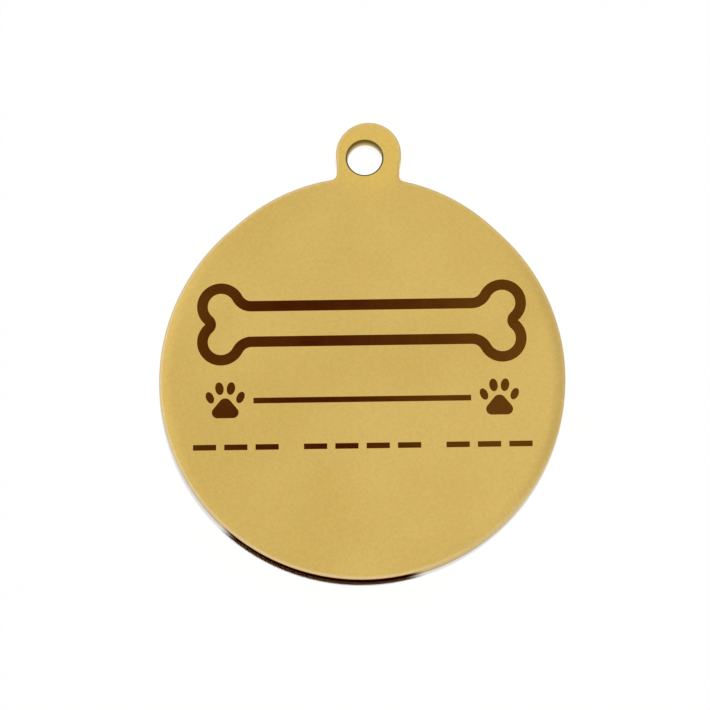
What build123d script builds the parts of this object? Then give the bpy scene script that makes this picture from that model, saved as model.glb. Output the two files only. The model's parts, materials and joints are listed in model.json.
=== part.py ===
from build123d import *
import math
import os

# A round metal pet tag: a blanked and tumbled disc with a ring lug, and dark fill seated in the marks
# that are engraved in its face. The tag lies on its back. The origin is the disc's centre on the back
# face, +Z points out of the engraved face and +Y from the disc to the lug. All sizes are in millimetres.

# Disc, and its crown: on either side of the lug the outline is drawn out a little from the circle
disc_diameter = 32.0
crown_rise = 0.41
crown_half_angle = 42
sheet_thickness = 1.5
front_edge_radius = 0.15
back_edge_break = 0.1

# Ring lug: a hole and the metal round it, on a neck that is a little narrower. The hole is punched off the
# lug's centre, to the left and towards the disc.
ring_hole_diameter = 2.8
hole_drift_left = 0.3
hole_drift_down = 0.33
hole_edge_break = 0.1
lug_wall = 1.2
lug_standoff = 2.3
neck_inset = 0.12
neck_root_radius = 0.5
neck_shoulder_radius = 1.0

# Engraving and its fill. The engraving is set askew to the lug, by a turn in degrees.
engraving_turn = 2.1
engraving_depth = 0.3
fill_below_face = 0.05
bold_stroke = 0.85
fine_stroke = 0.45

# Layout of the marks, as shares of the flat face's radius
bone_row_share = 0.285
bone_length_share = 1.64
bone_height_share = 0.42
rule_row_share = -0.105
rule_length_share = 1.08
paw_centre_share = 0.68
paw_height_share = 0.19
dash_row_share = -0.34
dash_length_share = 0.115
dash_gap_share = 0.04
dash_group_gap_share = 0.125
dash_groups = (3, 4, 3)

# The bone's lobes and shaft, as shares of its height
bone_lobe_share = 0.285
bone_shaft_share = 0.56
bone_blend_share = 0.12

# A paw's pad circles (x, y, radius) and right-hand toes (x, y, half width, half length), as shares of
# its height, and the toes' lean in degrees
pad_circle_shares = ((0.0, -0.10, 0.17), (-0.20, -0.31, 0.15), (0.20, -0.31, 0.15))
toe_shares = ((0.15, 0.33, 0.11, 0.17), (0.40, 0.09, 0.10, 0.16))
toe_leans = (8, 24)

# Worked out from the sizes above
disc_radius = disc_diameter / 2
face_radius = disc_radius - front_edge_radius
crown_cosine = math.cos(math.radians(crown_half_angle))
crown_centre = crown_rise / (1 - crown_cosine)
crown_radius = disc_radius - crown_centre * crown_cosine
lug_radius = ring_hole_diameter / 2 + lug_wall
lug_centre = disc_radius + lug_standoff
hole_place = Pos(-hole_drift_left, lug_centre - hole_drift_down)
neck_half_width = lug_radius - neck_inset
pocket_floor = sheet_thickness - engraving_depth
fill_thickness = engraving_depth - fill_below_face


def blank_outline():
    """The crowned disc and its lug, with the neck between them blended into both."""
    root_height = crown_centre + math.sqrt(crown_radius**2 - neck_half_width**2)
    shoulder_height = lug_centre - math.sqrt(lug_radius**2 - neck_half_width**2)
    neck_run = shoulder_height - root_height
    neck = Pos(0, lug_centre / 2) * Rectangle(2 * neck_half_width, lug_centre)
    crown = Pos(0, crown_centre) * Circle(crown_radius)
    disc = make_hull(Circle(disc_radius).edges() + crown.edges())
    outline = disc + neck + Pos(0, lug_centre) * Circle(lug_radius)
    for height, radius in ((root_height, neck_root_radius), (shoulder_height, neck_shoulder_radius)):
        corners = outline.vertices().sort_by(lambda corner: abs(corner.Y - height))[:2]
        outline = fillet(corners, min(radius, neck_run))
    return outline


def bone_mark():
    """The bone drawn as one bold line."""
    height = bone_height_share * face_radius
    lobe_radius = bone_lobe_share * height
    lobe_x = bone_length_share * face_radius / 2 - lobe_radius
    lobe_y = height / 2 - lobe_radius
    bone = Rectangle(2 * lobe_x, bone_shaft_share * height)
    for x in (-lobe_x, lobe_x):
        for y in (-lobe_y, lobe_y):
            bone += Pos(x, y) * Circle(lobe_radius)
    shaft_corners = bone.vertices().filter_by(lambda corner: abs(corner.X) < lobe_x)
    bone = fillet(shaft_corners, bone_blend_share * height)
    return Pos(0, bone_row_share * face_radius) * (bone - offset(bone, -bold_stroke))


def paw_mark(side):
    """A paw print at the left (-1) or right (+1) end of the rule: a pad and two pairs of toes."""
    height = paw_height_share * face_radius
    pad_circles = [Pos(x * height, y * height) * Circle(r * height) for x, y, r in pad_circle_shares]
    paw = make_hull([edge for circle in pad_circles for edge in circle.edges()])
    for (x, y, across, along), lean in zip(toe_shares, toe_leans):
        toe = Ellipse(across * height, along * height)
        paw += Pos(x * height, y * height) * Rot(0, 0, -lean) * toe
        paw += Pos(-x * height, y * height) * Rot(0, 0, lean) * toe
    return Pos(side * paw_centre_share * face_radius, rule_row_share * face_radius) * paw


def rule_mark():
    """The line for a name, between the two paw prints."""
    return Pos(0, rule_row_share * face_radius) * Rectangle(rule_length_share * face_radius, fine_stroke)


def dash_mark():
    """The dashes for a number, in groups."""
    length = dash_length_share * face_radius
    gap = dash_gap_share * face_radius
    group_gap = dash_group_gap_share * face_radius
    count = sum(dash_groups)
    groups = len(dash_groups)
    span = count * length + (count - groups) * gap + (groups - 1) * group_gap
    dashes = Sketch()
    x = -span / 2
    for group in dash_groups:
        for _ in range(group):
            dashes += Pos(x + length / 2, dash_row_share * face_radius) * Rectangle(length, fine_stroke)
            x += length + gap
        x += group_gap - gap
    return dashes


def tag_blank(marks):
    """The blanked metal, its front edge rounded and its back edge broken, with the hole and the pockets."""
    blank = extrude(blank_outline(), sheet_thickness)
    blank = fillet(blank.faces().sort_by(Axis.Z)[-1].outer_wire().edges(), front_edge_radius)
    blank = chamfer(blank.faces().sort_by(Axis.Z)[0].outer_wire().edges(), back_edge_break)
    blank -= hole_place * extrude(Circle(ring_hole_diameter / 2), sheet_thickness)
    flat_faces = blank.faces().filter_by(Axis.Z)
    hole_rims = [wire.edges() for face in flat_faces for wire in face.inner_wires()]
    blank = chamfer([edge for rim in hole_rims for edge in rim], hole_edge_break)
    for mark in marks:
        blank -= Pos(0, 0, pocket_floor) * extrude(mark, engraving_depth)
    return blank


def mark_fill(mark):
    """The dark fill of one mark: it stands on the pocket's floor and ends just under the face."""
    return Pos(0, 0, pocket_floor) * extrude(mark, fill_thickness)


marks = {
    "bone_fill": bone_mark(),
    "left_paw_fill": paw_mark(-1),
    "right_paw_fill": paw_mark(1),
    "name_rule_fill": rule_mark(),
    "number_dash_fill": dash_mark(),
}
marks = {name: Rot(0, 0, engraving_turn) * mark for name, mark in marks.items()}
parts = {"tag_blank": tag_blank(marks.values())}
for name, mark in marks.items():
    parts[name] = mark_fill(mark)

os.makedirs("parts", exist_ok=True)
for name, part in parts.items():
    export_step(part, f"parts/{name}.step")
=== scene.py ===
import json
import math

import bpy
from mathutils import Matrix, Vector


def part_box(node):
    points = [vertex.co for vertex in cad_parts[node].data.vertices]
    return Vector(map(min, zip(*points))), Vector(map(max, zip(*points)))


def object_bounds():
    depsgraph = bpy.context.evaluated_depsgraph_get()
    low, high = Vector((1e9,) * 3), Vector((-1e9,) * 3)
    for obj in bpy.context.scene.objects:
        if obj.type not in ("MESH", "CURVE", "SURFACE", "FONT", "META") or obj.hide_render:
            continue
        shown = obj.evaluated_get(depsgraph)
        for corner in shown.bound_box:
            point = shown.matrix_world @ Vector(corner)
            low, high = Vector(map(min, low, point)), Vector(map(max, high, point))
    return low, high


# A round pet tag of polished gold-coloured metal, lying on a white table. Lengths are in metres, or in
# millimetres where their names end in MM.

# Where the disc's front face lies in the photograph, in pixels, and how the camera is turned
PHOTO_PX = 710
DISC_CENTRE_PX = (362.0, 378.4)
DISC_RADIUS_PX = 203.4
VIEW_BELOW_DEG = 12.4
VIEW_RIGHT_DEG = 2.0
VIEW_ROLL_DEG = 1.67
LENS_MM = 200.0
SENSOR_MM = 36.0
CLIP_SHARE = 0.1

# Key light: nearly overhead, from the lug's side and a little from the right
KEY_AZIMUTH_DEG = 18.0
KEY_ELEVATION_DEG = 80.4
KEY_SPREAD_DEG = 6.0
KEY_STRENGTH = 3.2
KEY_COLOUR = (0.980, 1.0, 1.0)

# The white room that the metal mirrors. The patch of ceiling in the flat face brightens slowly to the
# right. Round that patch, from some way off, the room is bright on one side and dim on the other, and
# all round it dims towards the horizon. The room's own light on things is dim and warm.
CEILING = 0.96
CEILING_DRIFT = (0.50, -0.10, 0.0)
BELT_BRIGHT_SIDE = (-1.0, 0.05, 0.0)
BELT_BRIGHT = 1.10
BELT_BRIGHT_FROM = 0.6
BELT_DIM = 0.79
BELT_DIM_FROM = -0.66
BELT_START = (0.02, 0.25)
HORIZON_DEG = (8.0, 40.0)
HORIZON_SHARE = 0.7
ROOM_LIGHT = (0.034, 0.005, 0.005, 1)
ROOM_WHITE = (1, 1, 1, 1)
FIRST_BOUNCE = 1.0

# Table, with a share of plain white where it is seen. That lightens the shadow on it, most of all under
# the hole, where a pool of light is painted, and not at all on the side away from the lug.
TABLE_SIZE = 3.0
TABLE_DROP = 0.00002
TABLE_WHITE = (0.98, 0.98, 0.98, 1)
TABLE_ROUGHNESS = 1.0
TABLE_SPECULAR = 0.0
TABLE_GLOW_SHARE = 0.7
HOLE_GLOW_SHARE = 0.93
HOLE_GLOW_MM = (0.1, 0.7)

# Colours of the metal: mottled and finely grained, with a painted highlight on the lug, and a pale edge
# that is partly wear and partly a painted highlight
GOLD = (0.652, 0.449, 0.119, 1)
GOLD_PALE = (0.694, 0.484, 0.138, 1)
GOLD_WORN_HIGHLIGHT = (0.76, 0.60, 0.33, 1)
GOLD_LUG_HIGHLIGHT = (0.742, 0.508, 0.126, 1)
GOLD_GRAZING = (0.88, 0.79, 0.54, 1)
MOTTLE_MM = 9.0
MOTTLE_LEVELS = (0.3, 0.7)
GRAIN_MM = 0.2
GRAIN_LEVELS = (0.25, 0.75)
GRAIN_GAIN = (0.955, 1.045)
LUG_HIGHLIGHT_MM = (-1.6, 0.8)
WORN_HIGHLIGHT_MM = (0.08, 0.32)
HIGHLIGHT_SIDE = (-0.94, -0.34, 0.0)
HIGHLIGHT_SIDE_FROM = (-0.4, 0.3)
HIGHLIGHT_SHARES = (0.5, 1.0)

# The tag's outline, and the face's fine fall towards it, which is shorter round the lug
LUG_RADIUS_MM = 2.6
CROWN_RISE_MM = 0.41
CROWN_HALF_DEG = 42.0
NECK_BLEND_MM = 1.2
ROLL_OFF_MM = 1.15
ROLL_OFF_DEPTH = 0.000086
LUG_FADE_MM = 1.6
LUG_CRISP_MM = 0.6

# Polish, with smudges, hairline scratches and faint ripples
POLISH = 0.12
POLISH_SMUDGED = 0.16
SMUDGE_MM = 4.0
SMUDGE_DETAIL = 3.0
SMUDGE_LEVELS = (0.35, 0.7)
HAIRLINE_LENGTH_MM = 3.5
HAIRLINE_WIDTH_MM = 0.07
HAIRLINE_DETAIL = 1.0
HAIRLINE_TURNS_DEG = (17, 74, 128)
HAIRLINE_LEVELS = (0.64, 0.74)
HAIRLINE_ROUGHNESS = 0.07
HAIRLINE_HEIGHT = 0.0000004
RIPPLE_MM = 0.9
RIPPLE_HEIGHT = 0.0000012

# Walls, with upright lines that the blanking tool left
WALL_UPRIGHT = (0.42, 0.72)
WALL_ROUGHNESS = 0.04
WALL_LINE_MM = 0.12
WALL_LINE_LENGTH_MM = 3.0
WALL_LINE_HEIGHT = 0.0000012

# Painted shade on the stretch of wall away from the lug: a browner colour, glossier, and a dark red tint
# at glancing views that stands in for the shadow the wall mirrors. Its spread is how far out the shadow
# on the table stays dark beside it.
PAINTED_SHADE_BROWN = (0.60, 0.38, 0.095, 1)
PAINTED_SHADE_GRAZING = (0.17, 0.0, 0.0, 1)
PAINTED_SHADE_GLOSS = 0.7
SHADE_SIDE = (-0.198, -0.98, 0.0)
SHADE_REACH_MM = (13.75, 14.5)
SHADE_WIDTH_MM = (0.3, 0.6)
SHADE_SPREAD_MM = (0.6, 2.4)

# Painted shade: a dark ring along the hole's front rim, which fades down the bore
HOLE_RIM_MM = (0.08, 0.14)
SHADE_RING_OLIVE = (0.20, 0.14, 0.03, 1)
SHADE_RING_GRAZING = (0.44, 0.38, 0.30, 1)
SHADE_RING_DEPTH_MM = (0.1, 1.6)

# Dark fill in the marks, with a painted sheen: darkest a little to the left and lighter towards both
# sides
FILL_BROWN = (0.040, 0.0035, 0.0002, 1)
FILL_LIGHT = (0.122, 0.0430, 0.0042, 1)
FILL_SHEEN_DARKEST_MM = -3.5
FILL_SHEEN_MM = (2.0, 16.0)
FILL_SHEEN_SHARE = 0.66
FILL_BLOTCH_MM = 4.0
FILL_BLOTCH_LEVELS = (0.35, 0.7)
FILL_BLOTCH_SHARE = 0.2
FILL_SPECK_MM = 0.25
FILL_SPECK_DETAIL = 3.0
FILL_SPECK_SHARE = 0.22
HATCH_PITCH_MM = 0.10
HATCH_TURN_DEG = 45.0
HATCH_SHARE = 0.12
HATCH_HEIGHT = 0.000004
FILL_ROUGHNESS = 0.45
FILL_SPECULAR = 0.05
FILL_SPECULAR_TINT = (1.0, 0.62, 0.35, 1)

MM_PER_METRE = 1000.0
NOISE_DETAIL = 2.0

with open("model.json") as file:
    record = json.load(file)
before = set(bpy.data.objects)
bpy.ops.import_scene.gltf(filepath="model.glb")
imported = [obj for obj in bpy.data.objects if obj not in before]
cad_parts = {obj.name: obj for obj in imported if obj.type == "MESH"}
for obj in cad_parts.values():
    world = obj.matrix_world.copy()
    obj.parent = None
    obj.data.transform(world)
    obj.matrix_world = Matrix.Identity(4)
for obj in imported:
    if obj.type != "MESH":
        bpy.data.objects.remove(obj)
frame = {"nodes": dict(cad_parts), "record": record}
cad_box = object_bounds()


def add_node(tree, kind, settings=None, **inputs):
    """A new node with its settings. An input goes by its name, or by an underscore and its number, and
    is a plain value or another node's output socket."""
    made = tree.nodes.new(kind)
    for name, value in (settings or {}).items():
        setattr(made, name, value)
    for name, value in inputs.items():
        key = int(name[1:]) if name[1:].isdigit() else name.replace("_", " ")
        if isinstance(value, bpy.types.NodeSocket):
            tree.links.new(value, made.inputs[key])
        else:
            made.inputs[key].default_value = value
    return made


def calc(tree, operation, first, second=0.0, third=0.0):
    """The result of a sum with one, two or three numbers."""
    made = add_node(tree, "ShaderNodeMath", {"operation": operation}, _0=first, _1=second, _2=third)
    return made.outputs["Value"]


def total(tree, first, *others):
    """Numbers added together."""
    for other in others:
        first = calc(tree, "ADD", first, other)
    return first


def product(tree, first, *others):
    """Numbers multiplied together."""
    for other in others:
        first = calc(tree, "MULTIPLY", first, other)
    return first


def rest_of(tree, share):
    """What a share leaves of the whole."""
    return calc(tree, "SUBTRACT", 1.0, share)


def vector_calc(tree, operation, first, second=(0, 0, 0)):
    """The vector or the number that a sum with one or two vectors gives."""
    made = add_node(tree, "ShaderNodeVectorMath", {"operation": operation}, _0=first, _1=second)
    return made.outputs["Value" if operation in ("DOT_PRODUCT", "LENGTH", "DISTANCE") else "Vector"]


def parts_of(tree, vector):
    """A vector's X, Y and Z as sockets."""
    return add_node(tree, "ShaderNodeSeparateXYZ", Vector=vector).outputs


def step(tree, value, low, high, to_low=0.0, to_high=1.0):
    """A value's smooth step from one level to another."""
    made = add_node(
        tree,
        "ShaderNodeMapRange",
        {"interpolation_type": "SMOOTHSTEP"},
        Value=value,
        From_Min=low,
        From_Max=high,
        To_Min=to_low,
        To_Max=to_high,
    )
    return made.outputs["Result"]


def noise(tree, places, size=1.0, detail=NOISE_DETAIL):
    """Noise of 0 to 1 with blotches of a given size."""
    made = add_node(tree, "ShaderNodeTexNoise", Vector=places, Scale=1 / size, Detail=detail)
    return made.outputs["Fac"]


def mix_colours(tree, share, first, second):
    """A colour between two others. The node has like-named sockets, so its colours go by number."""
    made = add_node(tree, "ShaderNodeMix", {"data_type": "RGBA"}, _0=share, _6=first, _7=second)
    return made.outputs[2]


def bump(tree, height, depth, under=None):
    """A normal that follows a height of 0 to 1, over another bump's normal if there is one."""
    made = add_node(tree, "ShaderNodeBump", Strength=1.0, Distance=depth, Height=height)
    if under:
        tree.links.new(under, made.inputs["Normal"])
    return made.outputs["Normal"]


def new_material(name):
    """A material with a bare Principled shader, its nodes, that shader, and the place in millimetres."""
    material = bpy.data.materials.new(name)
    material.use_nodes = True
    tree = material.node_tree
    place = add_node(tree, "ShaderNodeTexCoord").outputs["Object"]
    place_mm = vector_calc(tree, "MULTIPLY", place, (MM_PER_METRE,) * 3)
    return material, tree, tree.nodes["Principled BSDF"], place_mm


def turned(tree, places, turn_deg):
    """Places turned about Z."""
    turn = (0, 0, math.radians(turn_deg))
    return add_node(tree, "ShaderNodeMapping", Vector=places, Rotation=turn).outputs["Vector"]


def stretched(tree, places, sizes):
    """Places divided by a size along each axis, so that noise of size 1 there has blotches that long."""
    return vector_calc(tree, "DIVIDE", places, sizes)


def flat_distance(tree, place_mm, x, y):
    """How far a place is from the upright line through a point, in millimetres."""
    flat = vector_calc(tree, "MULTIPLY", place_mm, (1, 1, 0))
    return vector_calc(tree, "DISTANCE", flat, (x, y, 0))


def inside_circle(tree, place_mm, centre_y, radius):
    """How far a place is inside an upright cylinder that stands on the Y axis, in millimetres."""
    return calc(tree, "SUBTRACT", radius, flat_distance(tree, place_mm, 0, centre_y))


def past_hole(tree, place_mm):
    """How far a place is outside the ring hole's bore, in millimetres."""
    hole = next(mount for mount in frame["record"]["mounts"] if mount["name"] == "ring_hole")
    x, y, _ = (length * MM_PER_METRE for length in hole["pos_m"])
    return calc(tree, "SUBTRACT", flat_distance(tree, place_mm, x, y), hole["dims"]["r_mm"])


def outline_places(tree, place_mm):
    """How far a place is inside the tag's outline, and inside the lug's circle, in millimetres."""
    _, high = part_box("tag_blank")
    disc_radius = high.x * MM_PER_METRE
    lug_centre = high.y * MM_PER_METRE - LUG_RADIUS_MM
    crown_cosine = math.cos(math.radians(CROWN_HALF_DEG))
    crown_centre = CROWN_RISE_MM / (1 - crown_cosine)
    crown_radius = disc_radius - crown_centre * crown_cosine
    inside_disc = inside_circle(tree, place_mm, 0, disc_radius)
    inside_crown = inside_circle(tree, place_mm, crown_centre, crown_radius)
    inside_lug = inside_circle(tree, place_mm, lug_centre, LUG_RADIUS_MM)
    across, along, _ = parts_of(tree, place_mm)
    beside_neck = calc(tree, "SUBTRACT", LUG_RADIUS_MM, calc(tree, "ABSOLUTE", across))
    along_neck = calc(tree, "MINIMUM", along, calc(tree, "SUBTRACT", lug_centre, along))
    inside_neck = calc(tree, "MINIMUM", beside_neck, along_neck)
    round_part = calc(tree, "MAXIMUM", inside_disc, inside_crown)
    lug_part = calc(tree, "MAXIMUM", inside_lug, inside_neck)
    return calc(tree, "SMOOTH_MAX", round_part, lug_part, NECK_BLEND_MM), inside_lug


def wall_mask(tree):
    """1 on upright walls and on what faces down, and 0 on faces that look up."""
    facing = parts_of(tree, add_node(tree, "ShaderNodeNewGeometry").outputs["Normal"])
    return step(tree, facing["Z"], *WALL_UPRIGHT, 1, 0)


def hairline_mask(tree, place_mm):
    """Fine scratches from wear, in a few directions."""
    sizes = (HAIRLINE_LENGTH_MM, HAIRLINE_WIDTH_MM, HAIRLINE_WIDTH_MM)
    hairlines = 0.0
    for turn in HAIRLINE_TURNS_DEG:
        places = stretched(tree, turned(tree, place_mm, turn), sizes)
        lines = step(tree, noise(tree, places, detail=HAIRLINE_DETAIL), *HAIRLINE_LEVELS)
        hairlines = calc(tree, "MAXIMUM", lines, hairlines)
    return hairlines


def worn_edge_highlight(tree, place_mm, inside, wall):
    """Wear and a painted highlight along the face's edge, the highlight heavier on one side, and none on
    the walls.
    """
    outwards = vector_calc(tree, "NORMALIZE", place_mm)
    side = vector_calc(tree, "DOT_PRODUCT", outwards, Vector(HIGHLIGHT_SIDE).normalized())
    share = step(tree, side, *HIGHLIGHT_SIDE_FROM, *HIGHLIGHT_SHARES)
    return product(tree, step(tree, inside, *WORN_HIGHLIGHT_MM, 1, 0), share, rest_of(tree, wall))


def shade_side(tree, place_mm):
    """1 along the disc's edge on the side away from the lug, where shade is painted on the wall, and on
    the table beside it, 0 elsewhere.
    """
    away = vector_calc(tree, "DOT_PRODUCT", place_mm, Vector(SHADE_SIDE).normalized())
    disc_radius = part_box("tag_blank")[1].x * MM_PER_METRE
    outside = calc(tree, "SUBTRACT", 0.0, inside_circle(tree, place_mm, 0, disc_radius))
    near = step(tree, outside, *SHADE_SPREAD_MM, 1, 0)
    return product(tree, step(tree, away, *SHADE_REACH_MM), near)


def painted_shade_mask(tree, place_mm, inside, wall):
    """1 on the stretch of wall with painted shade, and 0 elsewhere."""
    at_edge = step(tree, inside, *SHADE_WIDTH_MM, 1, 0)
    return product(tree, shade_side(tree, place_mm), at_edge, wall)


def hole_masks(tree, place_mm):
    """1 in the hole, and 1 on the ring of painted shade that fades from its front rim down, each 0
    elsewhere.
    """
    hole = step(tree, past_hole(tree, place_mm), *HOLE_RIM_MM, 1, 0)
    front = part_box("tag_blank")[1].z * MM_PER_METRE
    depth = calc(tree, "SUBTRACT", front, parts_of(tree, place_mm)["Z"])
    return hole, product(tree, hole, step(tree, depth, *SHADE_RING_DEPTH_MM, 1, 0))


def roll_off(tree, inside, inside_lug):
    """The face's height, 1 where it is flat, with a round fall to its outline, less at the lug."""
    flat = total(tree, inside, step(tree, inside_lug, -LUG_FADE_MM, 0, 0, LUG_CRISP_MM))
    flat_share = calc(tree, "MINIMUM", calc(tree, "DIVIDE", flat, ROLL_OFF_MM), 1.0)
    fall = rest_of(tree, flat_share)
    return rest_of(tree, product(tree, fall, fall))


def gold_colour(tree, place_mm, inside, inside_lug, wall):
    """Mottled gold with a fine grain, painted brighter on the lug as a highlight, and pale along the
    face's edge from wear and a painted highlight.
    """
    lug = step(tree, inside_lug, *LUG_HIGHLIGHT_MM)
    mottle = step(tree, noise(tree, place_mm, MOTTLE_MM), *MOTTLE_LEVELS)
    colour = mix_colours(tree, mottle, GOLD, GOLD_PALE)
    # Painted highlight: the lug is painted brighter than the disc
    colour = mix_colours(tree, lug, colour, GOLD_LUG_HIGHLIGHT)
    # Pale edge: partly wear, partly a painted highlight that is heavier on one side
    colour = mix_colours(tree, worn_edge_highlight(tree, place_mm, inside, wall), colour, GOLD_WORN_HIGHLIGHT)
    grain = step(tree, noise(tree, place_mm, GRAIN_MM), *GRAIN_LEVELS, *GRAIN_GAIN)
    return vector_calc(tree, "MULTIPLY", colour, grain)


def gold_roughness(tree, place_mm, hairlines, wall, painted_shade):
    """Polish, duller in smudges, on hairlines and on walls, and glossier where shade is painted."""
    smudges = noise(tree, place_mm, SMUDGE_MM, SMUDGE_DETAIL)
    polish = step(tree, smudges, *SMUDGE_LEVELS, POLISH, POLISH_SMUDGED)
    scratched = product(tree, hairlines, HAIRLINE_ROUGHNESS)
    roughness = total(tree, polish, scratched, product(tree, wall, WALL_ROUGHNESS))
    return product(tree, roughness, rest_of(tree, product(tree, painted_shade, PAINTED_SHADE_GLOSS)))


def gold_normal(tree, place_mm, inside, inside_lug, hairlines, wall):
    """The face's fall to its outline, with faint ripples, fine scratches and lines up the walls."""
    line_sizes = (WALL_LINE_MM, WALL_LINE_MM, WALL_LINE_LENGTH_MM)
    wall_lines = noise(tree, stretched(tree, place_mm, line_sizes))
    normal = bump(tree, roll_off(tree, inside, inside_lug), ROLL_OFF_DEPTH)
    normal = bump(tree, noise(tree, place_mm, RIPPLE_MM), RIPPLE_HEIGHT, normal)
    normal = bump(tree, rest_of(tree, hairlines), HAIRLINE_HEIGHT, normal)
    return bump(tree, product(tree, wall_lines, wall), WALL_LINE_HEIGHT, normal)


def gold_metal():
    """Polished metal with wear, painted highlights on the lug, the face's edge and the hole, painted
    shade on a stretch of wall, and a painted dark ring in its hole.
    """
    material, tree, shader, place_mm = new_material("gold_metal")
    inside, inside_lug = outline_places(tree, place_mm)
    wall = wall_mask(tree)
    hairlines = hairline_mask(tree, place_mm)
    painted_shade = painted_shade_mask(tree, place_mm, inside, wall)
    hole, shade_ring = hole_masks(tree, place_mm)
    colour = gold_colour(tree, place_mm, inside, inside_lug, wall)
    # Painted highlight: the hole's wall is painted paler
    colour = mix_colours(tree, hole, colour, GOLD_WORN_HIGHLIGHT)
    # Painted shade: a dark ring down from the hole's front rim
    colour = mix_colours(tree, shade_ring, colour, SHADE_RING_OLIVE)
    # Painted shade on the stretch of wall away from the lug, in its colour and its grazing tint
    colour = mix_colours(tree, painted_shade, colour, PAINTED_SHADE_BROWN)
    grazing = mix_colours(tree, shade_ring, GOLD_GRAZING, SHADE_RING_GRAZING)
    grazing = mix_colours(tree, painted_shade, grazing, PAINTED_SHADE_GRAZING)
    roughness = gold_roughness(tree, place_mm, hairlines, wall, painted_shade)
    normal = gold_normal(tree, place_mm, inside, inside_lug, hairlines, wall)
    tree.links.new(colour, shader.inputs["Base Color"])
    tree.links.new(grazing, shader.inputs["Specular Tint"])
    tree.links.new(roughness, shader.inputs["Roughness"])
    tree.links.new(normal, shader.inputs["Normal"])
    shader.inputs["Metallic"].default_value = 1
    return material


def dark_fill():
    """Satin brown fill with a painted sheen, lighter away from a point left of the middle: blotched and
    speckled, with the fine hatch of the engraving.
    """
    material, tree, shader, place_mm = new_material("dark_fill")
    aside = calc(tree, "SUBTRACT", parts_of(tree, place_mm)["X"], FILL_SHEEN_DARKEST_MM)
    # Painted sheen: lighter away from a point a little left of the middle
    drift = step(tree, calc(tree, "ABSOLUTE", aside), *FILL_SHEEN_MM, 0, FILL_SHEEN_SHARE)
    blotches = noise(tree, place_mm, FILL_BLOTCH_MM)
    blotch = step(tree, blotches, *FILL_BLOTCH_LEVELS, 0, FILL_BLOTCH_SHARE)
    speck = product(tree, noise(tree, place_mm, FILL_SPECK_MM, FILL_SPECK_DETAIL), FILL_SPECK_SHARE)
    across = parts_of(tree, turned(tree, place_mm, HATCH_TURN_DEG))["X"]
    hatch = calc(tree, "SINE", product(tree, across, math.tau / HATCH_PITCH_MM))
    light = total(tree, drift, blotch, speck, product(tree, hatch, HATCH_SHARE))
    tree.links.new(mix_colours(tree, light, FILL_BROWN, FILL_LIGHT), shader.inputs["Base Color"])
    tree.links.new(bump(tree, hatch, HATCH_HEIGHT), shader.inputs["Normal"])
    shader.inputs["Roughness"].default_value = FILL_ROUGHNESS
    shader.inputs["Specular IOR Level"].default_value = FILL_SPECULAR
    shader.inputs["Specular Tint"].default_value = FILL_SPECULAR_TINT
    return material


def dress():
    """Every CAD node gets the material of its record slot."""
    finishes = {"gold_metal": gold_metal(), "dark_fill": dark_fill()}
    for row in frame["record"]["subparts"]:
        piece = frame["nodes"][row["node"]]
        piece.data.materials.clear()
        piece.data.materials.append(finishes[row["material_slot"]])


def seen_rays(tree):
    """1 for rays that see a thing straight, mirrored or through glass, and 0 for those that light it."""
    rays = add_node(tree, "ShaderNodeLightPath").outputs
    seen = total(tree, rays["Is Camera Ray"], rays["Is Glossy Ray"], rays["Is Transmission Ray"])
    unscattered = calc(tree, "LESS_THAN", rays["Diffuse Depth"], FIRST_BOUNCE)
    return product(tree, calc(tree, "MINIMUM", seen, 1.0), unscattered)


def table():
    """A white table under the tag, which keeps its shadow."""
    bpy.ops.mesh.primitive_plane_add(size=TABLE_SIZE, location=(0, 0, cad_box[0].z - TABLE_DROP))
    top = bpy.context.object
    top.name = "table"
    material, tree, shader, place_mm = new_material("table_white")
    shader.inputs["Base Color"].default_value = TABLE_WHITE
    shader.inputs["Roughness"].default_value = TABLE_ROUGHNESS
    shader.inputs["Specular IOR Level"].default_value = TABLE_SPECULAR
    near_hole = past_hole(tree, place_mm)
    # Painted light: a pool of plain white on the table under the hole
    lightened = step(tree, near_hole, *HOLE_GLOW_MM, HOLE_GLOW_SHARE, TABLE_GLOW_SHARE)
    glow = product(tree, lightened, rest_of(tree, shade_side(tree, place_mm)), seen_rays(tree))
    white = add_node(tree, "ShaderNodeEmission").outputs["Emission"]
    seen = add_node(tree, "ShaderNodeMixShader", _0=glow, _1=shader.outputs["BSDF"], _2=white)
    tree.links.new(seen.outputs["Shader"], tree.nodes["Material Output"].inputs["Surface"])
    top.data.materials.append(material)


def view_slopes():
    """How far the camera leans to the right and towards the disc's foot, for each unit of height."""
    return math.tan(math.radians(VIEW_RIGHT_DEG)), math.tan(math.radians(VIEW_BELOW_DEG))


def face_mirrors():
    """The direction that the camera sees mirrored in the flat face."""
    rightward, downward = view_slopes()
    return Vector((-rightward, downward, 1)).normalized()


def room_level(tree, direction):
    """How bright the room is in a direction: its ceiling, the belt round that, and its horizon."""
    offset = vector_calc(tree, "SUBTRACT", direction, face_mirrors())
    drift = vector_calc(tree, "DOT_PRODUCT", offset, CEILING_DRIFT)
    outwards = vector_calc(tree, "NORMALIZE", offset)
    side = vector_calc(tree, "DOT_PRODUCT", outwards, Vector(BELT_BRIGHT_SIDE).normalized())
    dim = step(tree, side, BELT_DIM_FROM, -1, 0, BELT_DIM - CEILING)
    bright = step(tree, side, BELT_BRIGHT_FROM, 1, 0, BELT_BRIGHT - CEILING)
    in_belt = step(tree, vector_calc(tree, "LENGTH", offset), *BELT_START)
    change = product(tree, in_belt, calc(tree, "SUBTRACT", total(tree, dim, bright), drift))
    low, high = (math.sin(math.radians(angle)) for angle in HORIZON_DEG)
    horizon = step(tree, parts_of(tree, direction)["Z"], low, high, HORIZON_SHARE, 1)
    return product(tree, total(tree, drift, change, CEILING), horizon)


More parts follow.
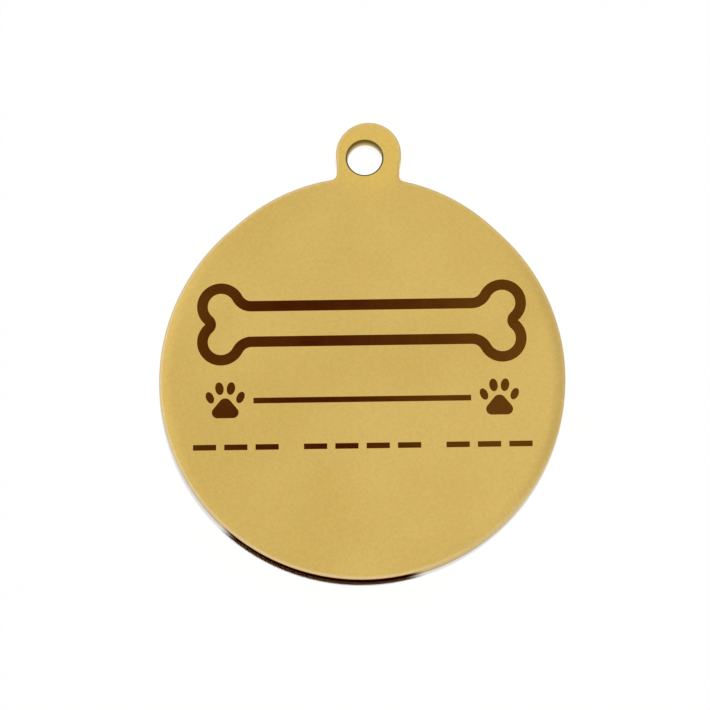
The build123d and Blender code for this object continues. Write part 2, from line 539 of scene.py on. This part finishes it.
def room():
    """The white room. What sees it, or mirrors it, sees it white, and it lights things only dimly."""
    world = bpy.data.worlds.new("room")
    bpy.context.scene.world = world
    world.use_nodes = True
    world.cycles.sampling_method = "NONE"
    tree = world.node_tree
    direction = add_node(tree, "ShaderNodeTexCoord").outputs["Generated"]
    background = tree.nodes["Background"]
    colour = mix_colours(tree, seen_rays(tree), ROOM_LIGHT, ROOM_WHITE)
    tree.links.new(colour, background.inputs["Color"])
    tree.links.new(room_level(tree, direction), background.inputs["Strength"])


def key_light():
    """A lamp nearly overhead, which casts the tag's short shadow. The metal mirrors the room alone."""
    azimuth = math.radians(KEY_AZIMUTH_DEG)
    elevation = math.radians(KEY_ELEVATION_DEG)
    towards = Vector((math.sin(azimuth), math.cos(azimuth), math.tan(elevation)))
    lamp = bpy.data.objects.new("key_lamp", bpy.data.lights.new("key_lamp", "SUN"))
    lamp.data.energy = KEY_STRENGTH
    lamp.data.color = KEY_COLOUR
    lamp.data.angle = math.radians(KEY_SPREAD_DEG)
    lamp.rotation_euler = towards.to_track_quat("Z", "Y").to_euler()
    lamp.visible_glossy = False
    bpy.context.scene.collection.objects.link(lamp)


def photo_camera():
    """The photograph's view: the disc's front face lands where the photograph has it."""
    low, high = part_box("tag_blank")
    disc_radius = (high.x - low.x) / 2
    disc_centre = Vector((0, 0, high.z))
    rightward, downward = view_slopes()
    back = Vector((rightward, -downward, 1)).normalized()
    roll = Matrix.Rotation(math.radians(VIEW_ROLL_DEG), 3, back)
    right = roll @ Vector((0, 1, 0)).cross(back).normalized()
    up = back.cross(right)
    focal_px = LENS_MM / SENSOR_MM * PHOTO_PX
    metres_per_px = disc_radius / DISC_RADIUS_PX
    distance = focal_px * metres_per_px
    across = (DISC_CENTRE_PX[0] - PHOTO_PX / 2) * metres_per_px
    down = (DISC_CENTRE_PX[1] - PHOTO_PX / 2) * metres_per_px
    camera = bpy.data.objects.new("camera", bpy.data.cameras.new("camera"))
    camera.data.lens = LENS_MM
    camera.data.sensor_width = SENSOR_MM
    camera.data.clip_start = distance * CLIP_SHARE
    place = disc_centre + back * distance - right * across + up * down
    camera.matrix_world = Matrix.Translation(place) @ Matrix((right, up, back)).transposed().to_4x4()
    bpy.context.scene.collection.objects.link(camera)
    bpy.context.scene.camera = camera


dress()
table()
room()
key_light()
photo_camera()
bpy.context.scene.view_settings.view_transform = "Standard"
